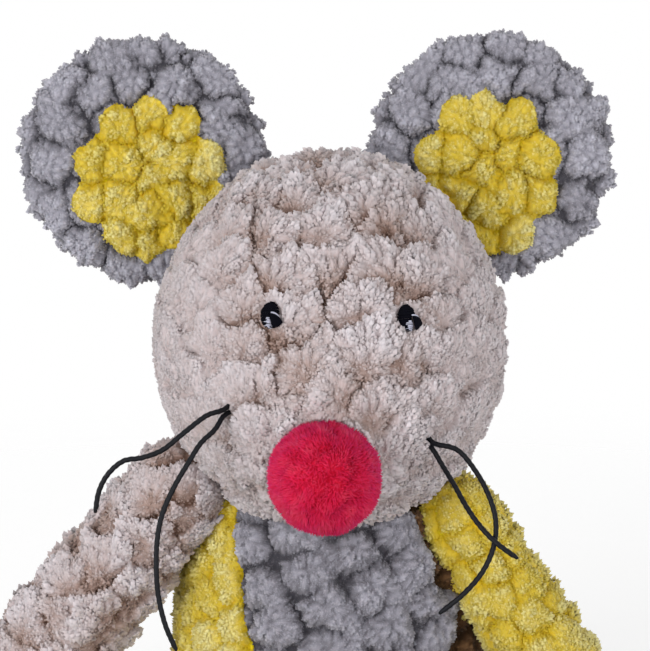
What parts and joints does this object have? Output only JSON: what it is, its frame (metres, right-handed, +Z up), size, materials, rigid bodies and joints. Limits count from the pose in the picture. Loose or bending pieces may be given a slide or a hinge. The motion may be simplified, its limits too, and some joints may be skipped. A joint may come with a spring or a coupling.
{
  "type": "stuffed mouse toy",
  "caption": "Seated plush mouse pet toy in patchwork bobble fabric with round ears, pompom nose, cord whiskers, stuffed limbs and a catnip sachet inside.",
  "frame": {"origin": "middle of the flat seat, on the floor", "axes": "+Z up, the mouse faces -Y, its left side is +X"},
  "size_m": [0.1662, 0.187, 0.2073],
  "materials": {
    "beige_plush": "long bobble chenille plush",
    "tan_plush": "bobble chenille plush, darker beige",
    "grey_plush": "bobble chenille plush",
    "yellow_plush": "bobble chenille plush",
    "red_pile": "dense cut pile",
    "black_thread": "satin stitch",
    "white_thread": "satin stitch",
    "waxed_cord": "waxed cotton cord",
    "polyester_fibre": "loose fibre filling",
    "calico": "plain weave cotton",
    "dried_herb": "dried crushed leaf",
    "cotton_tape": "woven tape"
  },
  "bodies": {
    "torso": {"belly_panel": "grey_plush", "side_panel_left": "tan_plush", "side_panel_right": "yellow_plush", "back_panel": "grey_plush", "seat_panel": "grey_plush", "body_stuffing_front": "polyester_fibre", "body_stuffing_back": "polyester_fibre", "sachet_front": "calico", "sachet_back": "calico", "dried_catnip": "dried_herb"},
    "neck": {"neck_gusset": "cotton_tape"},
    "head": {"face_right": "beige_plush", "face_left": "beige_plush", "head_back": "beige_plush", "head_stuffing": "polyester_fibre", "nose_pompom": "red_pile", "eye_right": "black_thread", "eye_glint_right": "white_thread", "eye_left": "black_thread", "eye_glint_left": "white_thread", "whisker_right_upper": "waxed_cord", "whisker_right_lower": "waxed_cord", "whisker_left_long": "waxed_cord", "whisker_left_short": "waxed_cord", "whisker_knot_right": "waxed_cord", "whisker_knot_left": "waxed_cord"},
    "ear_right": {"ear_back_right": "grey_plush", "ear_rim_right": "grey_plush", "ear_inner_right": "yellow_plush", "ear_wadding_right": "polyester_fibre"},
    "arm_right": {"arm_front_right": "beige_plush", "arm_rear_right": "beige_plush", "arm_stuffing_right": "polyester_fibre"},
    "leg_right": {"leg_top_right": "yellow_plush", "leg_under_right": "yellow_plush", "leg_stuffing_right": "polyester_fibre"},
    "ear_left": {"ear_back_left": "grey_plush", "ear_rim_left": "grey_plush", "ear_inner_left": "yellow_plush", "ear_wadding_left": "polyester_fibre"},
    "arm_left": {"arm_front_left": "yellow_plush", "arm_rear_left": "yellow_plush", "arm_stuffing_left": "polyester_fibre"},
    "leg_left": {"leg_top_left": "beige_plush", "leg_under_left": "beige_plush", "leg_stuffing_left": "polyester_fibre"},
    "tail": {"tail_cover": "grey_plush", "tail_stuffing": "polyester_fibre"}
  },
  "joints": [
    {"name": "head_turn", "type": "hinge", "parent": "torso", "child": "neck", "pos_m": [0, -0.014, 0.127], "axis": [0, 0, 1], "range_deg": [-20, 20], "stiffness_Nm_per_rad": 0.12},
    {"name": "head_nod", "type": "hinge", "parent": "neck", "child": "head", "pos_m": [0, -0.014, 0.127], "axis": [-1, 0, 0], "range_deg": [-10, 20], "stiffness_Nm_per_rad": 0.12},
    {"name": "ear_right_fold", "type": "hinge", "parent": "head", "child": "ear_right", "pos_m": [-0.03315, 0.002, 0.15802], "axis": [0.6833, 0, 0.7302], "range_deg": [-25, 25], "stiffness_Nm_per_rad": 0.02},
    {"name": "ear_left_fold", "type": "hinge", "parent": "head", "child": "ear_left", "pos_m": [0.03074, 0.002, 0.16078], "axis": [0.7396, 0, -0.673], "range_deg": [-25, 25], "stiffness_Nm_per_rad": 0.02},
    {"name": "arm_right_lift", "type": "hinge", "parent": "torso", "child": "arm_right", "pos_m": [-0.0406, -0.017, 0.0872], "axis": [0, 1, 0], "range_deg": [-22.5, 36.5], "stiffness_Nm_per_rad": 0.06},
    {"name": "arm_left_lift", "type": "hinge", "parent": "torso", "child": "arm_left", "pos_m": [0.034, -0.0175, 0.0806], "axis": [0, -1, 0], "range_deg": [-16, 43], "stiffness_Nm_per_rad": 0.06},
    {"name": "leg_right_lift", "type": "hinge", "parent": "torso", "child": "leg_right", "pos_m": [-0.023, -0.031, 0.0145], "axis": [-0.9744, 0.225, 0], "range_deg": [-25, 30], "stiffness_Nm_per_rad": 0.04},
    {"name": "leg_left_lift", "type": "hinge", "parent": "torso", "child": "leg_left", "pos_m": [0.023, -0.031, 0.0145], "axis": [-0.9744, -0.225, 0], "range_deg": [-25, 30], "stiffness_Nm_per_rad": 0.04},
    {"name": "tail_wag", "type": "hinge", "parent": "torso", "child": "tail", "pos_m": [0, 0.039, 0.0075], "axis": [0, 0, 1], "range_deg": [-30, 30], "stiffness_Nm_per_rad": 0.01}
  ]
}
